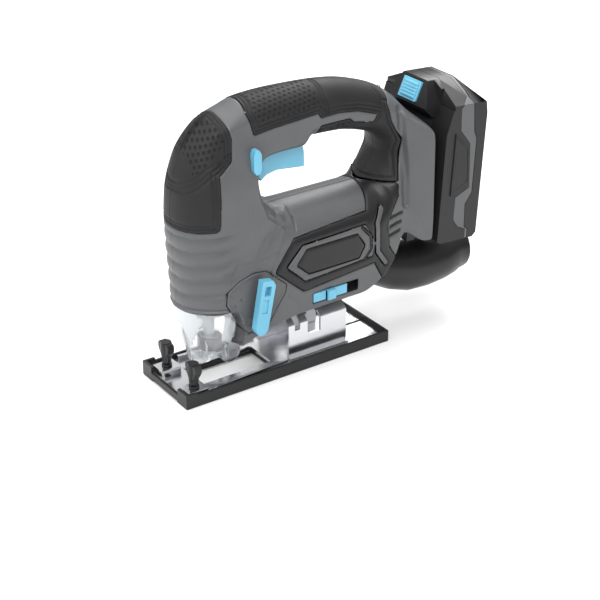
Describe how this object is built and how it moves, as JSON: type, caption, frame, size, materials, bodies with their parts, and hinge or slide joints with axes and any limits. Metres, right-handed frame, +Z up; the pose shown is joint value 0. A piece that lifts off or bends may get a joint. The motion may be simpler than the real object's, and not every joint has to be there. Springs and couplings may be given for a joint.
{
  "type": "cordless jigsaw",
  "caption": "Cordless jigsaw with D-shaped handle, tilting sole, reciprocating plunger, pendulum guide roller, clear chip guard, dust outlet and slide-on battery pack.",
  "frame": {"origin": "bottom centre of the overall box, on the plane of the sole", "axes": "+X from the blade end towards the battery, +Y to the tool's right-hand side seen from behind the blade end, +Z up from the sole"},
  "size_m": [0.248, 0.0746, 0.1953],
  "materials": {
    "grey_plastic": "fine texture, satin",
    "black_plastic": "fine texture, satin",
    "rubber": "soft overmould, dimpled",
    "blue_plastic": "smooth, light blue",
    "cell_sleeve": "shrink sleeve over the cells",
    "zinc_steel": "bright plated sheet",
    "steel": "machined",
    "cast_alloy": "as cast",
    "copper": "varnished windings",
    "brass": "sintered",
    "clear_plastic": "moulded, polished"
  },
  "bodies": {
    "tool_body": {"bevel_nut": "steel", "brush_plate": "brass", "chip_shield": "clear_plastic", "front_bearing": "steel", "gear_axle": "steel", "gear_housing": "cast_alloy", "housing_screw_1": "steel", "housing_screw_2": "steel", "housing_screw_3": "steel", "housing_screw_4": "steel", "left_badge_plate": "black_plastic", "left_badge_ring": "grey_plastic", "left_handle_grip": "rubber", "left_housing": "grey_plastic", "left_nose_cover": "rubber", "left_side_panel": "black_plastic", "lower_bush": "brass", "magnet_ring": "black_plastic", "motor_can": "steel", "pendulum_plate": "grey_plastic", "rear_bearing": "steel", "right_badge_plate": "black_plastic", "right_badge_ring": "grey_plastic", "right_handle_grip": "rubber", "right_housing": "grey_plastic", "right_nose_cover": "rubber", "right_side_panel": "black_plastic", "switch_module": "black_plastic", "terminal_block": "black_plastic", "trigger_spring": "steel", "upper_bush": "brass"},
    "base": {"base_plate": "zinc_steel", "base_saddle": "zinc_steel", "overshoe": "black_plastic"},
    "left_wing_knob": {"left_knob": "black_plastic"},
    "right_wing_knob": {"right_knob": "black_plastic"},
    "bevel_bolt": {"bevel_screw": "steel"},
    "trigger_body": {"trigger": "blue_plastic"},
    "lock_button_body": {"lock_button": "blue_plastic"},
    "pendulum_selector": {"pendulum_lever": "blue_plastic", "pendulum_shaft": "steel"},
    "blower_slider": {"blower_switch": "blue_plastic"},
    "rotor": {"armature": "copper", "motor_shaft": "steel", "cooling_fan": "black_plastic", "pinion": "steel"},
    "crank_gear": {"reduction_gear": "steel"},
    "plunger_assembly": {"plunger": "steel", "yoke": "steel", "blade_clamp": "steel"},
    "collar": {"clamp_collar": "black_plastic"},
    "fork": {"roller_fork": "steel", "roller_pin": "steel"},
    "roller": {"guide_roller": "zinc_steel"},
    "battery": {"battery_front_case": "black_plastic", "battery_band": "grey_plastic", "battery_rear_case": "black_plastic", "cell_pack": "cell_sleeve"},
    "battery_release": {"release_button": "blue_plastic"},
    "dust_outlet": {"dust_pipe": "black_plastic"}
  },
  "joints": [
    {"name": "base_bevel", "type": "hinge", "parent": "tool_body", "child": "base", "pos_m": [-0.024, 0, 0.0135], "axis": [1, 0, 0], "range_deg": [-45, 45]},
    {"name": "left_knob_turn", "type": "hinge", "parent": "base", "child": "left_wing_knob", "pos_m": [-0.1132, -0.0205, 0.02], "axis": [0, 0, 1], "continuous": true},
    {"name": "right_knob_turn", "type": "hinge", "parent": "base", "child": "right_wing_knob", "pos_m": [-0.1132, 0.0145, 0.02], "axis": [0, 0, 1], "continuous": true},
    {"name": "bevel_screw_turn", "type": "hinge", "parent": "tool_body", "child": "bevel_bolt", "pos_m": [-0.016, 0, 0.036], "axis": [0, 0, 1], "continuous": true},
    {"name": "trigger_pull", "type": "slide", "parent": "tool_body", "child": "trigger_body", "axis": [0, 0, 1], "range_m": [0, 0.005], "stiffness_N_per_m": 400, "springref_m": -0.002, "deforming": ["trigger_spring"]},
    {"name": "lock_push", "type": "slide", "parent": "tool_body", "child": "lock_button_body", "axis": [0, 1, 0], "range_m": [0, 0.0025], "stiffness_N_per_m": 300, "springref_m": -0.001},
    {"name": "pendulum_select", "type": "hinge", "parent": "tool_body", "child": "pendulum_selector", "pos_m": [-0.0695, -0.03, 0.047], "axis": [0, 1, 0], "range_deg": [-51, 26]},
    {"name": "blower_slide", "type": "slide", "parent": "tool_body", "child": "blower_slider", "axis": [1, 0, 0], "range_m": [0, 0.009]},
    {"name": "motor_spin", "type": "hinge", "parent": "tool_body", "child": "rotor", "pos_m": [-0.024, 0, 0.088], "axis": [1, 0, 0], "continuous": true},
    {"name": "gear_spin", "type": "hinge", "parent": "tool_body", "child": "crank_gear", "pos_m": [-0.0565, 0, 0.06305], "axis": [1, 0, 0], "continuous": true},
    {"name": "plunger_stroke", "type": "slide", "parent": "tool_body", "child": "plunger_assembly", "axis": [0, 0, 1], "range_m": [0, 0.016]},
    {"name": "clamp_twist", "type": "hinge", "parent": "plunger_assembly", "child": "collar", "pos_m": [-0.088, 0, 0.028], "axis": [0, 0, 1], "range_deg": [0, 45], "stiffness_Nm_per_rad": 0.02, "springref_deg": -11.46},
    {"name": "fork_swing", "type": "hinge", "parent": "tool_body", "child": "fork", "pos_m": [-0.069, 0, 0.038], "axis": [0, 1, 0], "range_deg": [0, 3]},
    {"name": "roller_spin", "type": "hinge", "parent": "fork", "child": "roller", "pos_m": [-0.0734, 0, 0.0156], "axis": [0, 1, 0], "continuous": true},
    {"name": "battery_slide", "type": "slide", "parent": "tool_body", "child": "battery", "axis": [0.0558, 0, 0.9984], "range_m": [0, 0.07]},
    {"name": "release_press", "type": "slide", "parent": "battery", "child": "battery_release", "axis": [0.9085, 0, -0.4179], "range_m": [0, 0.003], "stiffness_N_per_m": 500, "springref_m": -0.001},
    {"name": "dust_pipe_slide", "type": "slide", "parent": "tool_body", "child": "dust_outlet", "axis": [1, 0, 0], "range_m": [0, 0.045]}
  ],
  "couplings": [
    {"joint": "gear_spin", "follows": "motor_spin", "ratio": -0.2381}
  ]
}
